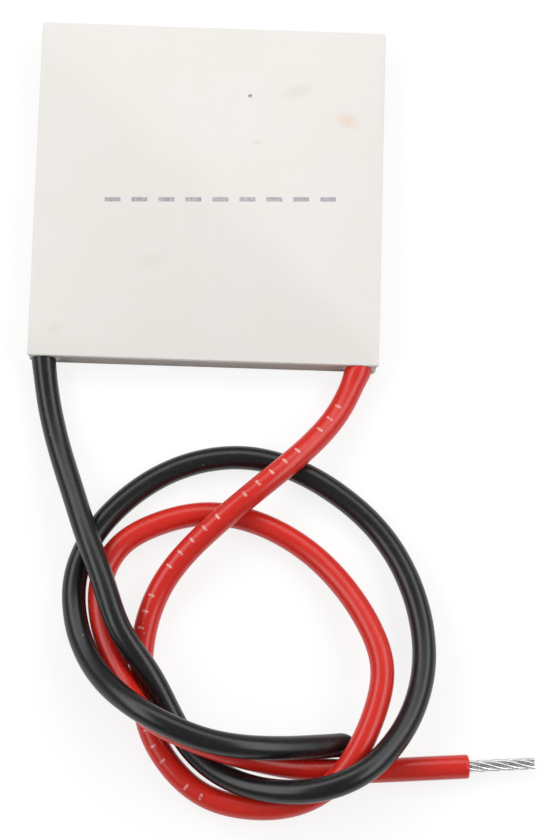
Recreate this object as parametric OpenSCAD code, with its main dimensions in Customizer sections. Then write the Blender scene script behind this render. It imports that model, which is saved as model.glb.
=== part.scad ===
// Thermoelectric cooling module, 40 mm square, on two silicone leads.
// The hot side lies on the bench at z = 0, the cold side faces up, and the leads leave towards -Y.
// Between two ceramics, the semiconductor legs stand in rows and columns on one winding path.
// Copper tabs bridge each leg to the next, by turns on the cold side and on the hot side.

/* [Plates] */
// Width of both ceramics, across the leads
plate_w = 40; // [30:0.5:60]
// Depth of both ceramics, along the leads
plate_d = 40; // [30:0.5:60]
// Thickness of each ceramic
plate_t = 0.7; // [0.5:0.05:1.2]
// Flat broken off each upright corner of a ceramic
plate_corner = 0.15; // [0.05:0.05:0.5]

/* [Legs and tabs] */
// Rows of the leg pattern, an even number
leg_rows = 16; // [8:2:16]
// Columns of the leg pattern, an even number
leg_columns = 16; // [8:2:16]
// Side of a square leg
leg_w = 1.4; // [1:0.05:1.7]
// Height of a leg
leg_h = 1.1; // [0.8:0.05:2]
// Copper that shows round a leg on its tab
tab_lip = 0.1; // [0.05:0.01:0.15]
// Thickness of a copper tab
tab_t = 0.3; // [0.2:0.05:0.5]
// Flat across each corner of a tab
tab_corner = 0.25; // [0.1:0.05:0.4]
// Thickness of the solder at each end of a leg
solder_t = 0.1; // [0.05:0.01:0.15]
// Bare ceramic from the outermost tabs to the plate's edge
edge_margin = 1.2; // [1:0.1:2]

/* [Seal] */
// How far the seal stays back from the plate's edge
seal_recess = 0.25; // [0.1:0.05:0.5]
// Room between the seal and the outermost tabs
seal_clearance = 0.15; // [0.05:0.05:0.3]
// Radius of the seal's outer corners
seal_corner = 1.2; // [0.5:0.1:2]
// Seal around a lead's core, from the core's middle to the seal's inner end
exit_reach = 1.6; // [1.2:0.1:2.5]
// Radius of the dab's corner round a lead
exit_round = 0.6; // [0.2:0.1:0.8]

/* [Leads] */
// Outside diameter of a lead
lead_od = 2.7; // [2:0.1:3]
// Diameter of the stranded core
core_d = 1.2; // [0.8:0.05:1.5]
// Room between the side seal and the solder on the black lead's core
black_clearance = 0.05; // [0.05:0.05:0.65]
// Room between the side seal and the solder on the red lead's core
red_clearance = 0.45; // [0.05:0.05:0.65]
// Bared core inside the module, from the plate's edge
core_reach = 2.9; // [2.4:0.1:3.5]
// Solder film between a core and its pad
core_film = 0.05; // [0.02:0.01:0.1]
// Solder that stands over a core on its pad
solder_skin = 0.1; // [0.05:0.01:0.15]
// Bare tinned strands at the red lead's free end
bare_length = 7.6; // [4:0.1:12]
// Diameter over the bare strands
bare_d = 1.4; // [1:0.1:1.6]
// Length of the taper at the strands' tip
bare_tip = 0.3; // [0.1:0.1:0.5]

/* [Hidden] */
$fn = 48;

// Heights of the stack, from the hot face up
tab_z = plate_t;
hot_solder_z = tab_z + tab_t;
leg_z = hot_solder_z + solder_t;
cold_solder_z = leg_z + leg_h;
cold_tab_z = cold_solder_z + solder_t;
cold_plate_z = cold_tab_z + tab_t;
gap_h = cold_plate_z - plate_t;

// The leg pattern: the tabs fill the plate up to the edge margin
tab_w = leg_w + 2 * tab_lip;
pitch_x = (plate_w - 2 * edge_margin - tab_w) / (leg_columns - 1);
pitch_y = (plate_d - 2 * edge_margin - tab_w) / (leg_rows - 1);
cell_count = leg_rows * leg_columns;
leg_count = cell_count - 2;

// The leads
lead_r = lead_od / 2;
core_r = core_d / 2;
core_z = hot_solder_z + core_film + core_r;
front_y = -plate_d / 2;

// From the plate's side to the middle of a lead: past the side seal, the clearance and the solder
seal_side = edge_margin - seal_clearance;
black_inset = seal_side + black_clearance + solder_skin + core_r;
red_inset = seal_side + red_clearance + solder_skin + core_r;
black_x = -plate_w / 2 + black_inset;
red_x = plate_w / 2 - red_inset;
lead_sides = 8;

// Routes of the leads after the plate's edge, as [x, y from the plate's front edge, lift from the
// bench]. Each lead runs forward and across, rounds one loop and comes out to the right.
black_route = [
    [-17.5, -5, 0], [-16, -10.5, 0.4], [-14, -16, 1.6], [-12.5, -20.5, 2.8], [-10, -26.5, 3.6],
    [-8.5, -31.5, 3.8], [-5.5, -35, 3.2], [-3.5, -38, 2], [-0.5, -44, 1], [4, -47.5, 1.6],
    [9, -49, 3.8], [14.5, -49, 6], [19, -47, 5.8], [22, -44, 4.4], [24.5, -40, 3],
    [26, -34.5, 1.8], [25.5, -28.5, 0.8], [23.5, -23, 0.4], [20.5, -18.5, 0], [16.5, -15, 0],
    [11.5, -12, 0], [6, -10.5, 0], [0.5, -11, 0], [-4.5, -13, 0], [-9, -16.5, 0],
    [-12.5, -21, 0], [-14, -26, 0], [-13, -32, 1.2], [-10.5, -36.5, 3.4], [-7.5, -39.5, 6],
    [-3.5, -42, 7.6], [1.5, -44, 7.4], [6.5, -44.5, 6.4], [12, -44, 3.6], [17.5, -43, 0.2]
];
red_route = [
    [16, -5, 0.6], [13, -9, 1.8], [9.5, -12.5, 3.2], [5.5, -16, 3.4], [1.5, -19.5, 2.6],
    [-2.5, -23.5, 1.4], [-5, -28, 0.4], [-6, -33.5, 0], [-5.5, -39, 0], [-4, -44, 0],
    [0.5, -49, 0.2], [5.5, -50.5, 0.6], [11, -50.5, 1.6], [15.5, -48.5, 3], [18.5, -44.5, 3.4],
    [20.5, -39.5, 3.2], [21.5, -34.5, 2.8], [19.5, -29.5, 2], [16.5, -25, 1], [12.5, -21, 0.2],
    [7, -18, 0], [1, -17, 0.2], [-4.5, -18.5, 0], [-9, -21, 0], [-11, -25.5, 0],
    [-10.5, -30.5, 0.4], [-8.5, -35.5, 1.4], [-6, -40.5, 3.2], [-1.5, -43, 5], [3, -44.5, 4.2],
    [8, -45.5, 2.4], [13, -46, 0.6], [18.5, -46, 0], [24.5, -45.5, 0], [31, -45, 0]
];

// The seal's run between its outer face and the outermost tabs
seal_out_x = plate_w / 2 - seal_recess;
seal_out_y = plate_d / 2 - seal_recess;
seal_in_x = plate_w / 2 - seal_side;
seal_in_y = plate_d / 2 - seal_side;

// Place of a cell on the winding path: up the first column, down the next, and so on
function cell(n) = let (
        column = floor(n / leg_rows),
        step = n % leg_rows,
        row = column % 2 == 0 ? step : leg_rows - 1 - step
    ) [
        (column - (leg_columns - 1) / 2) * pitch_x,
        (row - (leg_rows - 1) / 2) * pitch_y
    ];

module block_of(width, depth, height, corner) {
    linear_extrude(height)
        polygon([
            [-width / 2 + corner, -depth / 2], [width / 2 - corner, -depth / 2],
            [width / 2, -depth / 2 + corner], [width / 2, depth / 2 - corner],
            [width / 2 - corner, depth / 2], [-width / 2 + corner, depth / 2],
            [-width / 2, depth / 2 - corner], [-width / 2, -depth / 2 + corner]
        ]);
}

// Copper tab that bridges a cell to the next one on the path
module tab_from(n) {
    near = cell(n);
    far = cell(n + 1);
    span_x = abs(far.x - near.x) + tab_w;
    span_y = abs(far.y - near.y) + tab_w;
    translate([(near.x + far.x) / 2, (near.y + far.y) / 2])
        block_of(span_x, span_y, tab_t, tab_corner);
}

module pillars(first, width, height) {
    for (n = [first:2:leg_count])
        translate([cell(n).x - width / 2, cell(n).y - width / 2])
            cube([width, width, height]);
}

// ---- Ceramics ----

module hot_side_ceramic() {
    color("#e6e0d8")
        block_of(plate_w, plate_d, plate_t, plate_corner);
}

module cold_side_ceramic() {
    color("#ece7e0")
        translate([0, 0, cold_plate_z])
            block_of(plate_w, plate_d, plate_t, plate_corner);
}

// ---- The winding chain of legs and tabs ----

module hot_side_tabs() {
    color("#b87333")
        translate([0, 0, tab_z])
            for (n = [2:2:leg_count - 2])
                tab_from(n);
}

module cold_side_tabs() {
    color("#b87333")
        translate([0, 0, cold_tab_z])
            for (n = [1:2:leg_count - 1])
                tab_from(n);
}

// The chain starts on this pad and ends on the next one: a lead's core and one leg share each
module black_lead_pad() {
    color("#b87333")
        translate([0, 0, tab_z])
            tab_from(0);
}

module red_lead_pad() {
    color("#b87333")
        translate([0, 0, tab_z])
            tab_from(leg_count);
}

module p_type_legs() {
    color("#5c5f66")
        translate([0, 0, leg_z])
            pillars(1, leg_w, leg_h);
}

module n_type_legs() {
    color("#7a7d84")
        translate([0, 0, leg_z])
            pillars(2, leg_w, leg_h);
}

// Solder squeezed out a little past each leg
module solder_layer() {
    for (first = [1, 2])
        pillars(first, leg_w + tab_lip, solder_t);
}

module hot_side_solder() {
    color("#c9ccd0")
        translate([0, 0, hot_solder_z])
            solder_layer();
}

module cold_side_solder() {
    color("#c9ccd0")
        translate([0, 0, cold_solder_z])
            solder_layer();
}

// ---- Seal ----

module rounded_plan(half_x, half_y, radius) {
    square([2 * half_x, 2 * (half_y - radius)], center = true);
    square([2 * (half_x - radius), 2 * half_y], center = true);
    for (x = [-1, 1], y = [-1, 1])
        translate([x * (half_x - radius), y * (half_y - radius)])
            circle(r = radius);
}

// Corner of the seal's run that is kept free for a lead, drawn for the left side
module exit_corner(inset) {
    translate([-plate_w / 2, front_y])
        square([inset + exit_reach, plate_d / 2 - seal_in_y]);
}

module perimeter_seal() {
    color("#8f8a84")
        translate([0, 0, plate_t])
            linear_extrude(gap_h)
                difference() {
                    rounded_plan(seal_out_x, seal_out_y, seal_corner);
                    square([2 * seal_in_x, 2 * seal_in_y], center = true);
                    exit_corner(black_inset);
                    mirror([1, 0])
                        exit_corner(red_inset);
                }
}

// Dab of silicone that closes a front corner round a lead's core, drawn for the left side
module exit_seal(inset) {
    width = inset + exit_reach - seal_recess;
    depth = plate_d / 2 - seal_in_y;
    difference() {
        translate([-seal_out_x, front_y, plate_t])
            linear_extrude(gap_h)
                intersection() {
                    square([width, depth]);
                    union() {
                        translate([exit_round, 0])
                            square([width, depth]);
                        translate([0, exit_round])
                            square([width, depth]);
                        translate([exit_round, exit_round])
                            circle(r = exit_round);
                    }
                }
        translate([-plate_w / 2 + inset, front_y - 1, core_z])
            rotate([-90, 0, 0])
                cylinder(r = core_r, h = depth + 2);
    }
}

module black_exit_seal() {
    color("#d8d2c8")
        exit_seal(black_inset);
}

module red_exit_seal() {
    color("#e3d6c9")
        mirror([1, 0, 0])
            exit_seal(red_inset);
}

// ---- Lead cores and their solder ----

module bared_core(lead_x) {
    translate([lead_x, front_y, core_z])
        rotate([-90, 0, 0])
            cylinder(r = core_r, h = core_reach);
}

module black_lead_core() {
    color("#c4c4c6")
        bared_core(black_x);
}

module red_lead_core() {
    color("#c4c4c6")
        bared_core(red_x);
}

// Solder that holds a core down on its pad: round over the core, drawn in to the pad at its foot
module core_solder(lead_x) {
    over_core = core_r + solder_skin;
    drop = core_r + core_film;
    start_y = front_y + edge_margin;
    difference() {
        translate([lead_x, front_y + core_reach, core_z])
            rotate([90, 0, 0])
                linear_extrude(core_reach - edge_margin)
                    intersection() {
                        union() {
                            circle(r = over_core);
                            polygon([[-over_core, 0], [-core_r, -drop], [core_r, -drop], [over_core, 0]]);
                        }
                        translate([-over_core, -drop])
                            square([2 * over_core, drop + over_core]);
                    }
        bared_core(lead_x);
    }
}

module black_core_solder() {
    color("#b9bcc0")
        core_solder(black_x);
}

module red_core_solder() {
    color("#b9bcc0")
        core_solder(red_x);
}

// ---- Leads ----

// A stiff lead can't turn sharply, so each point of its route is drawn towards its neighbours
function eased(route) = [
    for (i = [0:len(route) - 1])
        i == 0 || i == len(route) - 1
            ? route[i]
            : (route[i - 1] + 4 * route[i] + route[i + 1]) / 6
];

// Route points to places: x is kept, y runs from the plate's front edge, lift from the bench
function laid(route) = [
    for (point = route)
        [point.x, front_y + point.y, lead_r + point.z]
];

function unit(v) = v / norm(v);

// Direction of a line at point i: straight out of the plate at the start
function heading(line, i) =
    i == 0 ? [0, -1, 0]
    : i == len(line) - 1 ? unit(line[i] - line[i - 1])
    : unit(line[i + 1] - line[i - 1]);

function ring(centre, ahead) = let (
        side = unit(cross(ahead, [0, 0, 1])),
        up = cross(side, ahead)
    ) [
        for (k = [0:lead_sides - 1])
            let (turn = 360 * k / lead_sides)
                centre + lead_r * (cos(turn) * side + sin(turn) * up)
    ];

module lead(line) {
    last = len(line) - 1;
    points = [
        for (i = [0:last])
            each ring(line[i], heading(line, i))
    ];
    walls = [
        for (i = [0:last - 1], k = [0:lead_sides - 1])
            let (
                next = (k + 1) % lead_sides,
                here = i * lead_sides,
                there = here + lead_sides
            )
                [here + k, here + next, there + next, there + k]
    ];
    start_cap = [for (k = [lead_sides - 1:-1:0]) k];
    end_cap = [for (k = [0:lead_sides - 1]) last * lead_sides + k];
    polyhedron(points = points, faces = concat([start_cap], walls, [end_cap]));
}

black_line = eased(concat([[black_x, front_y, core_z]], laid(black_route)));
red_line = eased(concat([[red_x, front_y, core_z]], laid(red_route)));

module black_lead() {
    color("#2b2b2e")
        lead(black_line);
}

module red_lead() {
    color("#d8352a")
        lead(red_line);
}

// Bare tinned strands that carry on where the red insulation ends
module red_bare_strands() {
    last = len(red_line) - 1;
    ahead = heading(red_line, last);
    color("#d0d2d6")
        translate(red_line[last])
            rotate([0, acos(ahead.z), atan2(ahead.y, ahead.x)]) {
                cylinder(d = bare_d, h = bare_length - bare_tip);
                translate([0, 0, bare_length - bare_tip])
                    cylinder(d1 = bare_d, d2 = bare_d - 2 * bare_tip, h = bare_tip);
            }
}

hot_side_ceramic();
hot_side_tabs();
black_lead_pad();
red_lead_pad();
hot_side_solder();
n_type_legs();
p_type_legs();
cold_side_solder();
cold_side_tabs();
cold_side_ceramic();
perimeter_seal();
black_exit_seal();
red_exit_seal();
black_lead_core();
red_lead_core();
black_core_solder();
red_core_solder();
black_lead();
red_lead();
red_bare_strands();
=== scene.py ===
import math

import bmesh
import bpy
import numpy as np
from mathutils import Matrix, Vector, noise


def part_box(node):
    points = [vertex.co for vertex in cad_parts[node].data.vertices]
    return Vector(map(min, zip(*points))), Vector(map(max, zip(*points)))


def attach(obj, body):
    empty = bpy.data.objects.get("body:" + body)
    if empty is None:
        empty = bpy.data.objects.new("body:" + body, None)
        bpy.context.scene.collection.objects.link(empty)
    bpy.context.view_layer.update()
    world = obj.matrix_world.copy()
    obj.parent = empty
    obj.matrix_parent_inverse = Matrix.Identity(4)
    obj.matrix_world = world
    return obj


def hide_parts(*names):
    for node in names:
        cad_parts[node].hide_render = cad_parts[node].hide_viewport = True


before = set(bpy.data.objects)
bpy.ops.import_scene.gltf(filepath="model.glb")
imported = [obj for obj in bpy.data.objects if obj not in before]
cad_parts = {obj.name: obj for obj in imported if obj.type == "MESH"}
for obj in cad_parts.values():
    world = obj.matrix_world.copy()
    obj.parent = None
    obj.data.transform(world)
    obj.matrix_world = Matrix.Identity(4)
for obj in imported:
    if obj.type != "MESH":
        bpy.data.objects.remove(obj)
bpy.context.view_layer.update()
MM = 0.001


# ---- The two ceramics ----
# The cold side lies on top and the hot side on the bench. Both are squares of alumina, snapped
# from a scribed sheet and ground flat, so their edges are a little worn and their faces matt.

class Wire:
    """One value in a material. Signs between wires and numbers add Math nodes to its tree."""

    def __init__(self, finish, socket):
        self.finish = finish
        self.socket = socket

    def __add__(self, other):
        return self.finish.maths("ADD", self, other)

    def __sub__(self, other):
        return self.finish.maths("SUBTRACT", self, other)

    def __rsub__(self, other):
        return self.finish.maths("SUBTRACT", other, self)

    def __mul__(self, other):
        return self.finish.maths("MULTIPLY", self, other)

    def __truediv__(self, other):
        return self.finish.maths("DIVIDE", self, other)

    def __pow__(self, other):
        return self.finish.maths("POWER", self, other)

    def __gt__(self, other):
        return self.finish.maths("GREATER_THAN", self, other)

    def __abs__(self):
        return self.finish.maths("ABSOLUTE", self, 0)

    __radd__ = __add__
    __rmul__ = __mul__

    def kept(self):
        """The same value, held between 0 and 1."""
        return self.finish.add("ShaderNodeClamp", {}, {"Value": self})


class Finish:
    """A material whose nodes are added one line at a time."""

    def __init__(self, name):
        self.material = bpy.data.materials.new(name)
        self.material.use_nodes = True
        self.tree = self.material.node_tree
        self.tree.nodes.clear()
        self.place = self.add("ShaderNodeTexCoord", {}, {}, "Object")

    def add(self, kind, settings, inputs, result=0):
        """One node of a type, with its settings and the values or wires of its sockets."""
        node = self.tree.nodes.new(kind)
        for name, value in settings.items():
            setattr(node, name, value)
        for name, value in inputs.items():
            if isinstance(value, Wire):
                self.tree.links.new(value.socket, node.inputs[name])
            else:
                node.inputs[name].default_value = value
        return Wire(self, node.outputs[result]) if len(node.outputs) else None

    def maths(self, operation, a, b):
        return self.add("ShaderNodeMath", {"operation": operation}, {0: a, 1: b})

    def parts(self, vector, axes):
        """Some axes of a vector, one wire for each."""
        return (self.add("ShaderNodeSeparateXYZ", {}, {0: vector}, axis) for axis in axes)

    def turned(self, centre, angle=0.0, stretch=(1, 1, 1)):
        """Object coordinates in millimetres from a centre, turned about Z, divided by a stretch."""
        return self.add("ShaderNodeMapping", {"vector_type": "TEXTURE"},
                        {"Vector": self.place, "Location": [c * MM for c in centre],
                         "Rotation": (0, 0, angle), "Scale": [s * MM for s in stretch]})

    def grain(self, size, detail=3.0, roughness=0.5, vector=None):
        """Noise between 0 and 1 whose lumps are about size millimetres across, on Object
        coordinates or another vector in metres."""
        return self.add("ShaderNodeTexNoise", {},
                        {"Vector": vector or self.place, "Scale": 1 / (size * MM),
                         "Detail": detail, "Roughness": roughness})

    def shift(self, colour, factor, other):
        """One colour that turns into another by the factor."""
        return self.add("ShaderNodeMix", {"data_type": "RGBA"}, {0: factor, 6: colour, 7: other}, 2)

    def close(self, colour, roughness, height=None, depth=0.0, **fixed):
        """Ends the material in one surface shader, with a bump of that depth in millimetres."""
        inputs = {"Base Color": colour, "Roughness": roughness}
        if height is not None:
            inputs["Normal"] = self.add("ShaderNodeBump", {},
                                        {"Height": height, "Distance": depth * MM, "Strength": 1.0})
        for name, value in fixed.items():
            inputs[name.replace("_", " ")] = value
        shader = self.add("ShaderNodeBsdfPrincipled", {}, inputs)
        self.add("ShaderNodeOutputMaterial", {}, {"Surface": shader})
        return self.material


plate_edge, _, plate_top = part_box("cold_side_ceramic")[1] / MM


def alumina(name, marks=(), dashes=None, rim_shade=None):
    """Unglazed alumina. A mark is a stain: its place, half sizes, turn, strength and colour. The
    rim
    colour is painted shade: a seal brown laid round the plate's rim for the shade on its edge."""
    f = Finish(name)
    colour = f.shift((0.815, 0.785, 0.745, 1), f.grain(9, 4), (0.845, 0.825, 0.80, 1))
    colour = f.shift(colour, (f.grain(0.35, 2) - 0.5).kept() * 0.35, (0.72, 0.69, 0.65, 1))
    for (x, y), (half_x, half_y), angle, strength, tint in marks:
        soak_depth = 3.0
        at = f.turned((x, y, plate_top), angle, (half_x, half_y, soak_depth))
        away = f.add("ShaderNodeVectorMath", {"operation": "LENGTH"}, {0: at}, "Value")
        ragged = away + (f.grain(max(half_x, half_y) * 0.7, 4, 0.6) - 0.5) * 0.9
        colour = f.shift(colour, (1 - ragged).kept() ** 0.8 * strength, tint)
    if dashes:
        colour = f.shift(colour, dashes(f), (0.30, 0.29, 0.36, 1))
    # painted shade: the plate's outer rim is darkened towards a seal brown, standing in for the
    # shade on its edge under the seal
    if rim_shade:
        rim_shade_width, blur = 0.28, 0.16
        x, y = f.parts(f.place, "XY")
        across = f.maths("MAXIMUM", abs(x), abs(y))
        rim = ((across / MM - (plate_edge - rim_shade_width)) / blur).kept()
        colour = f.shift(colour, rim * (0.75 + f.grain(0.9, 4) * 0.4).kept(), rim_shade)
    pores = f.grain(0.12, 4, 0.6) * 0.6 + f.grain(2.5, 2) * 0.4
    return f.close(colour, 0.62 + f.grain(1.2, 4) * 0.12, pores, 0.012, Specular_IOR_Level=0.35)


def worn_edge(along, seed):
    """How far a snapped edge lies back, in millimetres, at a distance along it."""
    waver, chip_depth, chips_above = 0.012, 0.09, 0.42
    small = noise.noise(Vector((along * 2.1, seed, 0.3)))
    chip = noise.noise(Vector((along * 0.55, seed + 7.7, 4.1)))
    return waver + waver * small + chip_depth * max(0.0, chip - chips_above)


def ceramic_plate(name, node, front_corner, corner, seed):
    """A plate with a fine rounded arris, that fills its solid's box. The flats on its two front
    corners have a size of their own."""
    (x0, y0, z0), (x1, y1, z1) = (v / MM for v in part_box(node))
    turns = [(x0 + front_corner, y0), (x1 - front_corner, y0),
             (x1, y0 + front_corner), (x1, y1 - corner),
             (x1 - corner, y1), (x0 + corner, y1),
             (x0, y1 - corner), (x0, y0 + front_corner)]
    spacing = 0.3
    outline = []
    for (ax, ay), (bx, by) in zip(turns, turns[1:] + turns[:1]):
        count = max(2, round(math.hypot(bx - ax, by - ay) / spacing))
        outline += [(ax + (bx - ax) * i / count, ay + (by - ay) * i / count)
                    for i in range(count)]
    arris = 0.09
    lower_half = [(0.0, arris), (arris * 0.3, arris * 0.3), (arris, 0.0)]
    upper_half = [(z1 - z0 - rise, back) for rise, back in reversed(lower_half)]
    flat_wall_levels = (2, 3)
    mesh = bmesh.new()
    rings = []
    for k, (rise, back) in enumerate(lower_half + upper_half):
        edge_seed = seed + (10 if k >= len(lower_half) else 0)
        wear = 0.4 if k in flat_wall_levels else 1.0
        ring = []
        for i, (x, y) in enumerate(outline):
            inward = Vector((-x, -y)).normalized()
            if abs(abs(x) - x1) > front_corner * 0.9:
                inward = Vector((0, -math.copysign(1, y)))
            elif abs(abs(y) - y1) > front_corner * 0.9:
                inward = Vector((-math.copysign(1, x), 0))
            step = back + worn_edge(i * spacing, edge_seed) * wear
            ring.append(mesh.verts.new(((x + inward.x * step) * MM, (y + inward.y * step) * MM,
                                        (z0 + rise) * MM)))
        rings.append(ring)
    for lower, upper in zip(rings, rings[1:]):
        for i in range(len(lower)):
            j = (i + 1) % len(lower)
            mesh.faces.new((lower[i], lower[j], upper[j], upper[i]))
    mesh.faces.new(reversed(rings[0]))
    mesh.faces.new(rings[-1])
    return finished(name, mesh, 40)


def placed(name, data):
    """An object in the scene that holds a mesh, a lamp or a camera."""
    thing = bpy.data.objects.new(name, data)
    bpy.context.scene.collection.objects.link(thing)
    return thing


def finished(name, mesh, sharp_degrees):
    """Turns a bmesh into an object that is smooth up to a sharp angle."""
    data = bpy.data.meshes.new(name)
    mesh.normal_update()
    mesh.to_mesh(data)
    mesh.free()
    data.shade_smooth()
    data.set_sharp_from_angle(angle=math.radians(sharp_degrees))
    return placed(name, data)


def stands_for(piece, slot, *nodes):
    """Puts a piece on the module in place of its solids, and hides them. slot is not used."""
    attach(piece, "root")
    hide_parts(*nodes)


def ink_row(f):
    """A row of plain dashes in worn grey ink, the mark of the cold side."""
    row_lean = 0.034
    dash_count, step = 9, 3.1
    half_length, half_width, blur, ink_depth = 0.95, 0.3, 0.07, 0.3
    x, y, z = f.parts(f.turned((1.35, -0.85, plate_top), row_lean), "XYZ")
    # from the middle of the nearest dash, counted from far enough left to stay above zero
    near = f.maths("PINGPONG", x + step * 20, step / 2)
    ends = ((half_length - near) / blur).kept()
    sides = ((half_width - abs(y)) / blur).kept()
    span = ((step * dash_count / 2 - abs(x)) / blur).kept()
    upper_face = ink_depth - abs(z) > 0
    worn = (f.grain(0.35, 3, 0.7) * 2.2 - 0.42).kept() * 0.6 + 0.3
    return ends * sides * span * upper_face * worn


cold_marks = [
    ((4.4, 11.8), (0.32, 0.26), 0.2, 1.0, (0.13, 0.11, 0.10, 1)),
    ((9.9, 12.6), (1.9, 1.0), 0.3, 0.35, (0.62, 0.57, 0.50, 1)),
    ((15.7, 9.1), (1.7, 1.1), -0.4, 0.6, (0.80, 0.60, 0.45, 1)),
    ((5.4, 6.2), (0.7, 0.5), 0.0, 0.4, (0.68, 0.61, 0.52, 1)),
    ((-6.2, -8.4), (2.2, 1.3), 0.5, 0.2, (0.66, 0.62, 0.57, 1)),
    ((-17.0, -16.8), (1.5, 1.0), 0.2, 0.35, (0.74, 0.66, 0.55, 1)),
]

cold_plate = ceramic_plate("cold_side_plate", "cold_side_ceramic",
                           front_corner=0.15, corner=0.15, seed=3.0)
cold_plate.data.materials.append(alumina("alumina_cold_side", cold_marks, ink_row))
stands_for(cold_plate, "alumina", "cold_side_ceramic")

hot_plate = ceramic_plate("hot_side_plate", "hot_side_ceramic",
                          front_corner=0.75, corner=0.15, seed=29.0)
# the hot plate's rim gets painted shade in a seal brown
hot_plate.data.materials.append(alumina("alumina_hot_side", rim_shade=(0.37, 0.335, 0.305, 1)))
stands_for(hot_plate, "alumina", "hot_side_ceramic")


# ---- Copper tabs and lead pads ----
# Rolled copper strips, bonded to the ceramics. Each one joins a leg to the next, and one at each
# end of the chain takes a lead.

def rolled_copper():
    f = Finish("bonded_copper")
    streaks = f.grain(1.0, 4, 0.6, f.turned((0, 0, 0), 0.0, (0.12, 2.5, 0.5)))
    colour = f.shift((0.78, 0.40, 0.24, 1), f.grain(1.6, 4, 0.65), (0.52, 0.23, 0.13, 1))
    colour = f.shift(colour, (f.grain(0.5, 3) - 0.55).kept() * 2.0, (0.30, 0.16, 0.11, 1))
    return f.close(colour, 0.28 + f.grain(0.8, 3) * 0.25, streaks, 0.01, Metallic=1.0)


def dress(material, *nodes):
    """Gives solids that keep their own shape a finish."""
    for name in nodes:
        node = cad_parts[name]
        node.data.materials.clear()
        node.data.materials.append(material)


dress(rolled_copper(), "hot_side_tabs", "cold_side_tabs", "black_lead_pad", "red_lead_pad")


# ---- Semiconductor legs ----
# Blocks of bismuth telluride, sawn from a cast rod. Its flat crystals shine unevenly, and the
# p-type alloy is darker than the n-type one.

def sawn_telluride(name, light, dark):
    f = Finish(name)
    crystals = f.add("ShaderNodeTexVoronoi", {},
                     {"Vector": f.turned((0, 0, 0), 0.3, (0.35, 0.5, 1.4)), "Scale": 1.0}, "Color")
    tone = f.add("ShaderNodeSeparateColor", {}, {0: crystals}, 0)
    saw = f.grain(1.0, 2, 0.5, f.turned((0, 0, 0), 0.0, (3.0, 3.0, 0.04)))
    colour = f.shift(light, tone * 0.8 + f.grain(0.2, 3) * 0.2, dark)
    return f.close(colour, 0.3 + tone * 0.25, saw * 0.7 + tone * 0.3, 0.008, Metallic=0.85)


n_alloy = sawn_telluride("telluride_n_type", (0.42, 0.43, 0.46, 1), (0.24, 0.25, 0.28, 1))
p_alloy = sawn_telluride("telluride_p_type", (0.30, 0.31, 0.34, 1), (0.14, 0.15, 0.17, 1))
dress(n_alloy, "n_type_legs")
dress(p_alloy, "p_type_legs")


# ---- Solder ----
# Bismuth tin solder joins the legs to the tabs, and a larger drop holds each lead's core on its
# pad. It cools to a dull, slightly grainy skin.

def dull_solder():
    f = Finish("bismuth_tin_solder")
    frost = f.grain(0.25, 5, 0.6)
    colour = f.shift((0.62, 0.63, 0.64, 1), frost, (0.42, 0.42, 0.42, 1))
    return f.close(colour, 0.32 + frost * 0.25, frost + f.grain(1.0, 2), 0.015, Metallic=1.0)


dress(dull_solder(), "hot_side_solder", "cold_side_solder", "black_core_solder", "red_core_solder")


# ---- Perimeter seal ----
# A bead of grey-brown silicone, run between the ceramics all round and drawn in with a wet
# finger. It keeps damp out and stops at the two corners that take the leads.

def seal_silicone(name, light, dark, depth):
    f = Finish(name)
    colour = f.shift(light, f.grain(1.4, 4, 0.6), dark)
    dust = (f.grain(0.15, 2, 0.7) - 0.66).kept() * 3.0
    colour = f.shift(colour, dust.kept() * 0.5, (0.62, 0.6, 0.57, 1))
    return f.close(colour, 0.42 + f.grain(0.9, 3) * 0.18,
                   f.grain(0.7, 3) + f.grain(0.15, 2) * 0.25, depth, Specular_IOR_Level=0.4)


seal_step = 0.22


def bead(mesh, route, low, high, wall, seed):
    """One run of seal, closed at both ends, on a plan route of (x, y, nx, ny), with n pointing
    outwards. Its face stands proud, more so at the bottom, and is hollowed between."""
    rows = 9
    proud_low, proud_high, hollow = 0.19, 0.02, 0.07
    rings = []
    for i, (x, y, nx, ny) in enumerate(route):
        at = i * seal_step
        swell = 0.05 * noise.noise(Vector((at * 0.5, seed, 0)))
        swell += 0.02 * noise.noise(Vector((at * 2, seed, 5)))
        ring = []
        for k in range(rows):
            t = k / (rows - 1)
            back = (proud_low - proud_high) * t - proud_low
            back += (hollow + swell) * math.sin(math.pi * t)
            ring.append((x - nx * back, y - ny * back, low + (high - low) * t))
        ring.append((x - nx * wall, y - ny * wall, high))
        ring.append((x - nx * wall, y - ny * wall, low))
        rings.append([mesh.verts.new([c * MM for c in p]) for p in ring])
    count = len(rings[0])
    for a, b in zip(rings, rings[1:]):
        for k in range(count):
            m = (k + 1) % count
            mesh.faces.new((a[k], b[k], b[m], a[m]))
    mesh.faces.new(rings[0])
    mesh.faces.new(reversed(rings[-1]))


def plan_route(points, evened):
    """Even steps along straight runs, with outward normals for a route walked anticlockwise, each
    evened out with that many neighbours on both sides."""
    out = []
    for (ax, ay), (bx, by) in zip(points, points[1:]):
        length = math.hypot(bx - ax, by - ay)
        count = max(1, round(length / seal_step))
        tx, ty = (bx - ax) / length, (by - ay) / length
        out += [(ax + tx * length * i / count, ay + ty * length * i / count, ty, -tx)
                for i in range(count)]
    tx, ty = points[-1][0] - points[-2][0], points[-1][1] - points[-2][1]
    length = math.hypot(tx, ty)
    out.append((*points[-1], ty / length, -tx / length))
    rounded = []
    for i, (x, y, _, _) in enumerate(out):
        near = out[max(0, i - evened):i + evened + 1]
        mx, my = sum(p[2] for p in near), sum(p[3] for p in near)
        size = math.hypot(mx, my)
        rounded.append((x, y, mx / size, my / size))
    return rounded


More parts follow.
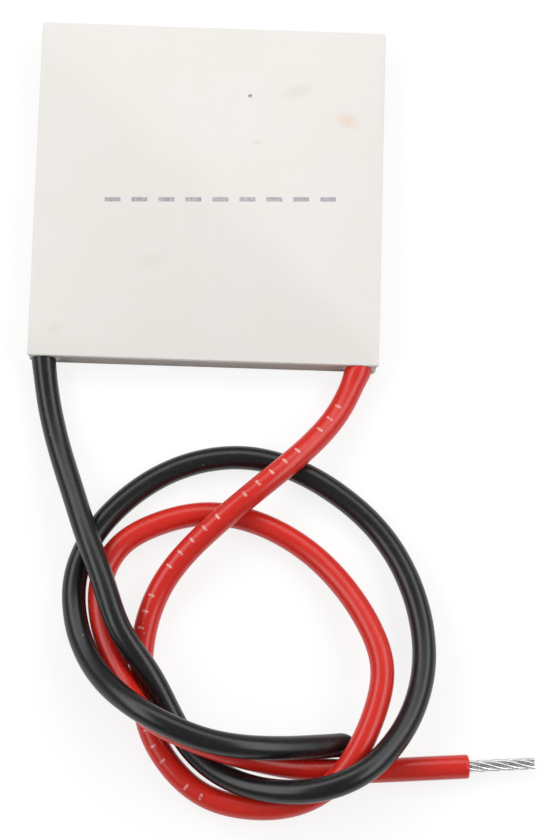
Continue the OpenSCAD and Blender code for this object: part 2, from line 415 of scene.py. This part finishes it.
seal_low, seal_high = (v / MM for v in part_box("perimeter_seal"))
black_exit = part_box("black_exit_seal")[1] / MM
red_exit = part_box("red_exit_seal")[0] / MM
seal_wall = black_exit.y - seal_low.y
corner_radius = 1.2
arc = [(math.cos(math.radians(a)) * corner_radius, math.sin(math.radians(a)) * corner_radius)
       for a in range(0, 91, 9)]
cx, cy = seal_high.x - corner_radius, seal_high.y - corner_radius
long_run = [(seal_high.x, black_exit.y)]
long_run += [(cx + ax, cy + ay) for ax, ay in arc]
long_run += [(-cx - ay, cy + ax) for ax, ay in arc]
long_run.append((seal_low.x, black_exit.y))
short_run = [(black_exit.x, seal_low.y), (red_exit.x, seal_low.y)]
mesh = bmesh.new()
bead(mesh, plan_route(long_run, 3), seal_low.z, seal_high.z, seal_wall, 1.0)
bead(mesh, plan_route(short_run, 0), seal_low.z, seal_high.z, seal_wall, 2.0)
seal = finished("perimeter_bead", mesh, 50)
seal.data.materials.append(
    seal_silicone("sealing_silicone", (0.44, 0.40, 0.365, 1), (0.36, 0.32, 0.295, 1), depth=0.05))
stands_for(seal, "seal_silicone", "perimeter_seal")


# ---- Lead exit seals ----
# A dab of pale silicone closes each front corner round a lead. It was pressed in by hand, so it
# bulges a little past the ceramics and climbs onto the lead.

def stretched(place, sizes):
    """A matrix that makes a unit shape these sizes and moves it to its place."""
    return Matrix.Translation(place) @ Matrix.Diagonal((*sizes, 1))


def pressed_dab(name, node, lumps, seed):
    """Round lumps of (x, y, z, rx, ry, rz) melted onto the corner block, in millimetres."""
    low, high = (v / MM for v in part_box(node))
    middle = (low + high) / 2
    mesh = bmesh.new()
    bmesh.ops.create_cube(mesh, size=1, matrix=stretched(middle, high - low))
    for x, y, z, rx, ry, rz in lumps:
        bmesh.ops.create_uvsphere(mesh, u_segments=32, v_segments=16, radius=1,
                                  matrix=stretched((x, y, z), (rx, ry, rz)))
    data = bpy.data.meshes.new(name)
    mesh.to_mesh(data)
    mesh.free()
    piece = placed(name, data)
    melt = piece.modifiers.new("melt", "REMESH")
    melt.mode = "VOXEL"
    melt.voxel_size = 0.09
    soften = piece.modifiers.new("soften", "SMOOTH")
    soften.factor = 0.5
    soften.iterations = 7
    graph = bpy.context.evaluated_depsgraph_get()
    whole = bpy.data.meshes.new_from_object(piece.evaluated_get(graph))
    bpy.data.objects.remove(piece)
    front_ends, plates_start = low.y + 0.35, low.y - 0.02
    for v in whole.vertices:
        dimple = noise.noise(v.co * 1.3 + Vector((seed, 0, 0))) * 0.06
        out = (v.co - middle).normalized()
        v.co += out * dimple * (1 if v.co.y < front_ends else 0.2)
        if v.co.y > plates_start:
            v.co.z = min(max(v.co.z, low.z), high.z)
        v.co *= MM
    whole.shade_smooth()
    return placed(name, whole)


pale_silicone = seal_silicone("pale_sealing_silicone", (0.66, 0.62, 0.56, 1),
                              (0.50, 0.47, 0.43, 1), depth=0.04)
black_x, red_x, exit_z = -18.2, 17.8, 1.65
black_dab = pressed_dab("black_exit_dab", "black_exit_seal", [
    (black_x - 1.3, -19.9, 1.5, 0.4, 0.25, 0.7),
    (black_x + 1.5, -19.8, 1.3, 0.5, 0.2, 0.6),
], 11.0)
black_dab.data.materials.append(pale_silicone)
stands_for(black_dab, "exit_silicone", "black_exit_seal")
red_dab = pressed_dab("red_exit_dab", "red_exit_seal", [
    (red_x + 1.45, -20.0, 1.6, 0.55, 0.55, 0.75),
    (red_x - 1.5, -19.8, 1.3, 0.5, 0.2, 0.6),
], 17.0)
red_dab.data.materials.append(pale_silicone)
stands_for(red_dab, "exit_silicone", "red_exit_seal")


# ---- Silicone leads ----
# Stranded cores in soft extruded silicone, one black and one red. Both were cut and bent by hand
# at the works: the black one at a slant, the red one square and stripped.

LEAD_OD = 2.7
LEAD_LIFT = LEAD_OD / 2
FRONT_Y = -20.0
black_route = [
    (-17.5, -5, 0), (-16, -10.5, 0.4), (-14, -16, 1.6), (-12.5, -20.5, 2.8), (-10, -26.5, 3.6),
    (-8.5, -31.5, 3.8), (-5.5, -35, 3.2), (-3.5, -38, 2), (-0.5, -44, 1), (4, -47.5, 1.6),
    (9, -49, 3.8), (14.5, -49, 6), (19, -47, 5.8), (22, -44, 4.4), (24.5, -40, 3),
    (26, -34.5, 1.8), (25.5, -28.5, 0.8), (23.5, -23, 0.4), (20.5, -18.5, 0), (16.5, -15, 0),
    (11.5, -12, 0), (6, -10.5, 0), (0.5, -11, 0), (-4.5, -13, 0), (-9, -16.5, 0),
    (-12.5, -21, 0), (-14, -26, 0), (-13, -32, 1.2), (-10.5, -36.5, 3.4), (-7.5, -39.5, 6),
    (-3.5, -42, 7.6), (1.5, -44, 7.4), (6.5, -44.5, 6.4), (12, -44, 3.6), (17.5, -43, 0.2),
]
red_route = [
    (16, -5, 0.6), (13, -9, 1.8), (9.5, -12.5, 3.2), (5.5, -16, 3.4), (1.5, -19.5, 2.6),
    (-2.5, -23.5, 1.4), (-5, -28, 0.4), (-6, -33.5, 0), (-5.5, -39, 0), (-4, -44, 0),
    (0.5, -49, 0.2), (5.5, -50.5, 0.6), (11, -50.5, 1.6), (15.5, -48.5, 3), (18.5, -44.5, 3.4),
    (20.5, -39.5, 3.2), (21.5, -34.5, 2.8), (19.5, -29.5, 2), (16.5, -25, 1), (12.5, -21, 0.2),
    (7, -18, 0), (1, -17, 0.2), (-4.5, -18.5, 0), (-9, -21, 0), (-11, -25.5, 0),
    (-10.5, -30.5, 0.4), (-8.5, -35.5, 1.4), (-6, -40.5, 3.2), (-1.5, -43, 5), (3, -44.5, 4.2),
    (8, -45.5, 2.4), (13, -46, 0.6), (18.5, -46, 0), (24.5, -45.5, 0), (31, -45, 0),
]


def centreline(start, route, steps=12):
    """The smooth line that a springy lead takes through its route, in millimetres."""
    knots = [start] + [(x, FRONT_Y + y, LEAD_LIFT + z) for x, y, z in route]
    p = np.array(knots, float)
    p = np.vstack([2 * p[0] - p[1], p, 2 * p[-1] - p[-2]])
    line = []
    for i in range(len(p) - 3):
        for u in np.arange(steps) / steps:
            weights = ((1 - u) ** 3, 3 * u ** 3 - 6 * u ** 2 + 4,
                       -3 * u ** 3 + 3 * u ** 2 + 3 * u + 1, u ** 3)
            line.append(sum(w * q for w, q in zip(weights, p[i:i + 4])) / 6)
    line.append(p[-2])
    return np.array(line)


def carried_frames(line):
    """A direction, a side and an up at each point, carried along without twisting."""
    ahead = np.gradient(line, axis=0)
    ahead[0] = (0, -1, 0)
    ahead /= np.linalg.norm(ahead, axis=1)[:, None]
    up = np.array([0.0, 0, 1])
    sides, ups = [], []
    for t in ahead:
        up = up - (up @ t) * t
        up /= np.linalg.norm(up)
        ups.append(up)
        sides.append(np.cross(t, up))
    return ahead, np.array(sides), np.array(ups)


def lead_tube(name, line, flare, slant, lip, bore):
    """Silicone skin along a line. flare is how much it widens where the plates squeeze it, slant
    how far the free end's cut leans, lip how much its rim is rounded and bore the core's room."""
    sides_count = 32
    squeezed_reach, cut_reach = 1.6, 2.2
    leaning = (1.0, 0.25)
    waver = 0.012
    ahead, sides, ups = carried_frames(line)
    steps = np.linalg.norm(np.diff(line, axis=0), axis=1)
    along = np.concatenate([[0], np.cumsum(steps)])
    total = along[-1]
    mesh = bmesh.new()
    uv = mesh.loops.layers.uv.new("along")
    rings, spots = [], []

    def ring(i, radius, push):
        near_end = max(0.0, 1 - (total - along[i]) / cut_reach)
        made = []
        for k in range(sides_count):
            turn = 2 * math.pi * k / sides_count
            c, s = math.cos(turn), math.sin(turn)
            lean = slant * (c * leaning[0] + s * leaning[1]) * radius * near_end
            at = line[i] + radius * (c * sides[i] + s * ups[i]) + ahead[i] * (push + lean)
            made.append(mesh.verts.new(at * MM))
        rings.append(made)
        spots.append(along[i] + push)

    ring(0, bore, 0.0)
    last = len(line) - 1
    for i in range(last + 1):
        swell = noise.noise(Vector((along[i] * 0.35, len(name), 0.5)))
        flared = flare * math.exp(-(along[i] / squeezed_reach) ** 2)
        radius = LEAD_OD / 2 - waver + waver * swell + flared
        if i < last:
            ring(i, radius, 0.0)
        else:
            for bend in (0.0, 0.35, 0.7, 1.0):
                ring(i, radius - lip * (1 - math.cos(bend * math.pi / 2)),
                     -lip + lip * math.sin(bend * math.pi / 2))
    # the cut face dips to the bore, and the bore goes in behind the core's end
    ring(last, (radius - lip + bore) / 2, -0.02)
    ring(last, bore + 0.04, -0.03)
    ring(last, bore, -0.1)
    ring(last, bore, -0.7)
    for a, (low, high) in enumerate(zip(rings, rings[1:])):
        for k in range(sides_count):
            m = (k + 1) % sides_count
            face = mesh.faces.new((low[k], low[m], high[m], high[k]))
            for loop, (around, step) in zip(face.loops, ((k, 0), (k + 1, 0), (k + 1, 1), (k, 1))):
                loop[uv].uv = (around / sides_count, spots[a + step] * MM)
    mesh.faces.new(reversed(rings[0]))
    mesh.faces.new(rings[-1])
    bmesh.ops.recalc_face_normals(mesh, faces=mesh.faces)
    return finished(name, mesh, 50)


def silicone_skin(name, light, dark, specks, tick_row=None):
    """Soft extruded silicone, with lines drawn along the lead and handling dust. tick_row is where
    round the lead, from 0 to 1, a row of worn ticks runs."""
    f = Finish(name)
    uv = f.add("ShaderNodeUVMap", {"uv_map": "along"}, {})
    around, run = f.parts(uv, "XY")
    drawn = f.add("ShaderNodeCombineXYZ", {}, {0: around * 40, 1: run * 60, 2: 0.0})
    lines = f.add("ShaderNodeTexNoise", {}, {"Vector": drawn, "Scale": 1.0, "Detail": 3.0})
    colour = f.shift(light, f.grain(3.5, 3, 0.6), dark)
    haze = (f.grain(0.6, 4, 0.7) - 0.56).kept() * 1.4
    colour = f.shift(colour, haze.kept() * 0.25, specks)
    speck_gap = 1.9
    grit = f.add("ShaderNodeTexVoronoi", {"feature": "F1"},
                 {"Scale": 1 / (speck_gap * MM), "Vector": f.place}, "Distance")
    seen = f.grain(2.0, 2) > 0.53
    colour = f.shift(colour, (grit * -14 + 1.0).kept() * seen * 0.8, specks)
    if tick_row:
        first, last, step = 4.0, 62.0, 1.9
        half_width, half_length = 0.17, 0.052
        at = run / MM
        # from the middle of the nearest tick
        near = f.maths("PINGPONG", at + step * 4, step / 2)
        tick = ((half_width - near) / 0.07).kept()
        strip = ((half_length - abs(around - tick_row)) / 0.01).kept()
        part = (at > first) * (last - at > 0)
        # a short gap after each few ticks
        group = f.maths("PINGPONG", at, step * 3) > step * 0.75
        worn = (f.grain(0.35, 3, 0.7) * 2.6 - 0.75).kept()
        ink = tick * strip * part * group * worn * 0.8
        colour = f.shift(colour, ink, (0.93, 0.66, 0.60, 1))
    return f.close(colour, 0.24 + f.grain(0.8, 3) * 0.09,
                   lines * 0.6 + f.grain(0.25, 3) * 0.4, 0.01, Specular_IOR_Level=0.5)


def corded(piece, slot, nodes):
    """Lays a lead on the module in place of its solids."""
    stands_for(piece, slot, *nodes)


black_line = centreline((black_x, FRONT_Y, exit_z), black_route)
red_line = centreline((red_x, FRONT_Y, exit_z), red_route)
black_lead = lead_tube("black_silicone_lead", black_line,
                       flare=0.05, slant=0.72, lip=0.10, bore=0.72)
black_lead.data.materials.append(silicone_skin(
    "black_silicone", (0.006, 0.006, 0.007, 1), (0.010, 0.010, 0.0115, 1), (0.30, 0.29, 0.28, 1)))
red_lead = lead_tube("red_silicone_lead", red_line,
                     flare=0.19, slant=0.0, lip=0.28, bore=0.72)
red_lead.data.materials.append(silicone_skin(
    "red_silicone", (0.72, 0.024, 0.013, 1), (0.62, 0.016, 0.009, 1), (0.80, 0.35, 0.28, 1), 0.22))


# ---- Bare strands ----
# Tinned copper wires, laid round one another like a rope. They stick out where the red lead is
# stripped, and their cut ends show in the black lead.

def strand_tree():
    """Geometry nodes that lay one ring of wires along X and twist it."""
    tree = bpy.data.node_groups.new("laid_strands", "GeometryNodeTree")
    sockets = {}
    for label, kind in (("Length", "Float"), ("Ring radius", "Float"), ("Wire radius", "Float"),
                        ("Lay", "Float"), ("Wires", "Int"), ("Ragged", "Float"),
                        ("Seed", "Int"), ("Finish", "Material")):
        socket = tree.interface.new_socket(name=label, in_out="INPUT",
                                           socket_type="NodeSocket" + kind)
        sockets[label] = socket.identifier
    tree.interface.new_socket(name="Geometry", in_out="OUTPUT", socket_type="NodeSocketGeometry")

    def node(kind, settings=(), inputs=()):
        made = tree.nodes.new(kind)
        for name, value in dict(settings).items():
            setattr(made, name, value)
        for name, value in dict(inputs).items():
            if isinstance(value, bpy.types.NodeSocket):
                tree.links.new(value, made.inputs[name])
            else:
                made.inputs[name].default_value = value
        return made

    def maths(operation, a, b):
        return node("ShaderNodeMath", {"operation": operation}, {0: a, 1: b}).outputs[0]

    given = node("NodeGroupInput")
    wires, length = given.outputs["Wires"], given.outputs["Length"]
    # a seat for each wire on the ring
    row = node("GeometryNodeMeshLine", {}, {"Count": wires, "Offset": (0, 0, 0)})
    number = node("GeometryNodeInputIndex")
    round_by = maths("MULTIPLY", maths("DIVIDE", number.outputs[0], wires), 2 * math.pi)
    arm = node("ShaderNodeCombineXYZ", {}, {"Y": given.outputs["Ring radius"]})
    seat = node("ShaderNodeVectorRotate", {"rotation_type": "X_AXIS"},
                {"Vector": arm.outputs[0], "Angle": round_by})
    seats = node("GeometryNodeSetPosition", {},
                 {"Geometry": row.outputs[0], "Position": seat.outputs[0]})
    # straight wires, some a little shorter
    far = node("ShaderNodeCombineXYZ", {}, {"X": length})
    straight = node("GeometryNodeCurvePrimitiveLine", {}, {"End": far.outputs[0]})
    fine = node("GeometryNodeResampleCurve", {}, {"Curve": straight.outputs[0], "Count": 40})
    shorter = node("FunctionNodeRandomValue", {"data_type": "FLOAT"},
                   {"Max": given.outputs["Ragged"], "Seed": given.outputs["Seed"]})
    kept = maths("SUBTRACT", 1.0, maths("DIVIDE", shorter.outputs[1], length))
    scale = node("ShaderNodeCombineXYZ", {}, {"X": kept, "Y": 1.0, "Z": 1.0})
    laid = node("GeometryNodeInstanceOnPoints", {},
                {"Points": seats.outputs[0], "Instance": fine.outputs[0],
                 "Scale": scale.outputs[0]})
    real = node("GeometryNodeRealizeInstances", {}, {"Geometry": laid.outputs[0]})
    # the twist, one turn for each lay
    place = node("GeometryNodeInputPosition")
    run = node("ShaderNodeSeparateXYZ", {}, {0: place.outputs[0]})
    turns = maths("DIVIDE", run.outputs[0], given.outputs["Lay"])
    twisted = node("ShaderNodeVectorRotate", {"rotation_type": "X_AXIS"},
                   {"Vector": place.outputs[0], "Angle": maths("MULTIPLY", turns, 2 * math.pi)})
    wound = node("GeometryNodeSetPosition", {},
                 {"Geometry": real.outputs[0], "Position": twisted.outputs[0]})
    section = node("GeometryNodeCurvePrimitiveCircle", {},
                   {"Resolution": 12, "Radius": given.outputs["Wire radius"]})
    solid = node("GeometryNodeCurveToMesh", {},
                 {"Curve": wound.outputs[0], "Profile Curve": section.outputs[0],
                  "Fill Caps": True})
    smooth = node("GeometryNodeSetShadeSmooth", {}, {"Geometry": solid.outputs[0]})
    whole = node("GeometryNodeRealizeInstances", {}, {"Geometry": smooth.outputs[0]})
    painted = node("GeometryNodeSetMaterial", {},
                   {"Geometry": whole.outputs[0], "Material": given.outputs["Finish"]})
    node("NodeGroupOutput", {}, {"Geometry": painted.outputs[0]})
    return tree, sockets


def tinned_wire():
    f = Finish("tinned_copper_wire")
    colour = f.shift((0.83, 0.83, 0.84, 1), f.grain(0.5, 4, 0.6), (0.64, 0.63, 0.62, 1))
    colour = f.shift(colour, (f.grain(0.3, 3) - 0.6).kept() * 3.0, (0.42, 0.38, 0.36, 1))
    return f.close(colour, 0.16 + f.grain(0.4, 3) * 0.22, f.grain(0.2, 3), 0.01, Metallic=1.0)


strands, socket_names = strand_tree()
wire_finish = tinned_wire()


def strand_bundle(name, length, ragged, line, push, lean=0.0):
    """Six wires laid round a seventh, at the far end of a lead's line, in millimetres. push moves
    them along it, and lean follows the slant of its cut."""
    wire, lay, slack = 0.228, 9.6, 0.985
    meshes = []
    for wires, ring_radius, seed in ((1, 0.0, 3), (6, wire * 2, 5)):
        holder = placed(name, bpy.data.meshes.new(name))
        layer = holder.modifiers.new("laid", "NODES")
        layer.node_group = strands
        values = {"Length": length * MM, "Ring radius": ring_radius * MM,
                  "Wire radius": wire * slack * MM, "Lay": lay * MM, "Wires": wires,
                  "Ragged": ragged * MM, "Seed": seed, "Finish": wire_finish}
        for label, value in values.items():
            layer[socket_names[label]] = value
        graph = bpy.context.evaluated_depsgraph_get()
        meshes.append(bpy.data.meshes.new_from_object(holder.evaluated_get(graph)))
        bpy.data.objects.remove(holder)
    ahead, sides, ups = (Vector(v[-1]) for v in carried_frames(line))
    turn = Matrix((ahead, -sides, ups)).transposed().to_4x4()
    end = Vector(line[-1] * MM)
    spot = Matrix.Translation(end + ahead * push * MM) @ turn
    whole = bmesh.new()
    for part in meshes:
        part.transform(spot)
        whole.from_mesh(part)
    for v in whole.verts:
        v.co += ahead * lean * (v.co - end).dot(sides)
    data = bpy.data.meshes.new(name)
    whole.to_mesh(data)
    whole.free()
    data.materials.append(wire_finish)
    data.shade_smooth()
    data.set_sharp_from_angle(angle=math.radians(50))
    return placed(name, data)


red_strands = strand_bundle("red_lead_strands", length=8.1, ragged=0.5, line=red_line, push=-0.5)
stands_for(red_strands, "tinned_copper", "red_bare_strands")
black_strands = strand_bundle("black_lead_strand_ends", length=1.2, ragged=0.0, line=black_line,
                              push=-1.36, lean=0.72)
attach(black_strands, "root")
dress(wire_finish, "black_lead_core", "red_lead_core")
corded(black_lead, "black_silicone", ["black_lead"])
corded(red_lead, "red_silicone", ["red_lead"])


# ---- Table and light ----
# The module lies on a white sheet, between two long soft boxes and in front of a third, with a
# little light from all round. The camera looks down on it from the leads' side.

def seen_rays(f):
    """1 for what the camera sees, straight or in metal and glass, and 0 for light on its way."""
    camera, glossy, through = (f.add("ShaderNodeLightPath", {}, {}, ray) for ray in
                               ("Is Camera Ray", "Is Glossy Ray", "Is Transmission Ray"))
    return f.maths("MAXIMUM", f.maths("MAXIMUM", camera, glossy), through)


def white_sheet():
    f = Finish("white_sheet")
    cloth = f.add("ShaderNodeBsdfDiffuse", {}, {"Color": (0.9, 0.9, 0.9, 1)})
    pale = f.add("ShaderNodeBsdfDiffuse", {}, {"Color": (0.2, 0.2, 0.2, 1)})
    glow = f.add("ShaderNodeEmission", {}, {"Color": (1, 1, 1, 1), "Strength": 0.82})
    lit = f.add("ShaderNodeAddShader", {}, {0: pale, 1: glow})
    shader = f.add("ShaderNodeMixShader", {}, {0: seen_rays(f), 1: cloth, 2: lit})
    f.add("ShaderNodeOutputMaterial", {}, {"Surface": shader})
    return f.material


sheet_mesh = bmesh.new()
just_under = Matrix.Translation((0, 0, -0.02 * MM))
bmesh.ops.create_grid(sheet_mesh, x_segments=1, y_segments=1, size=3.0, matrix=just_under)
sheet = finished("white_table", sheet_mesh, 30)
sheet.data.materials.append(white_sheet())


def soft_box(name, place, size, watts):
    """A lamp that faces the module. Its size is how wide it is, on the level, and how high."""
    lamp = bpy.data.lights.new(name, "AREA")
    lamp.shape = "RECTANGLE"
    lamp.size, lamp.size_y = size
    lamp.energy = watts
    box = placed(name, lamp)
    module = Vector((0.003, -0.02, 0))
    box.location = place
    box.rotation_euler = (module - Vector(place)).to_track_quat("-Z", "Y").to_euler()


soft_box("left_soft_box", (-0.42, 0.04, 0.42), (0.7, 0.28), 1.8)
soft_box("right_soft_box", (0.42, 0.04, 0.42), (0.7, 0.28), 1.8)
soft_box("back_soft_box", (0.0, 0.40, 0.46), (0.6, 0.32), 1.2)

room = bpy.data.worlds.new("pale_room")
room.use_nodes = True
room_light = room.node_tree.nodes["Background"].inputs
room_light["Color"].default_value = (1, 1, 1, 1)
room_light["Strength"].default_value = 0.25
bpy.context.scene.world = room

tilt, roll, yaw = (math.radians(a) for a in (13.04, 1.66, -0.84))
lens = bpy.data.cameras.new("camera")
lens.sensor_width = 36.0
lens.lens = 128.571
camera = placed("camera", lens)
aim = (Matrix.Rotation(yaw, 4, "Y") @ Matrix.Rotation(tilt, 4, "X")
       @ Matrix.Rotation(roll, 4, "Z"))
camera.matrix_world = Matrix.Translation((0.003, -0.10331, 0.33398)) @ aim
bpy.context.scene.camera = camera
bpy.context.scene.view_settings.view_transform = "Standard"
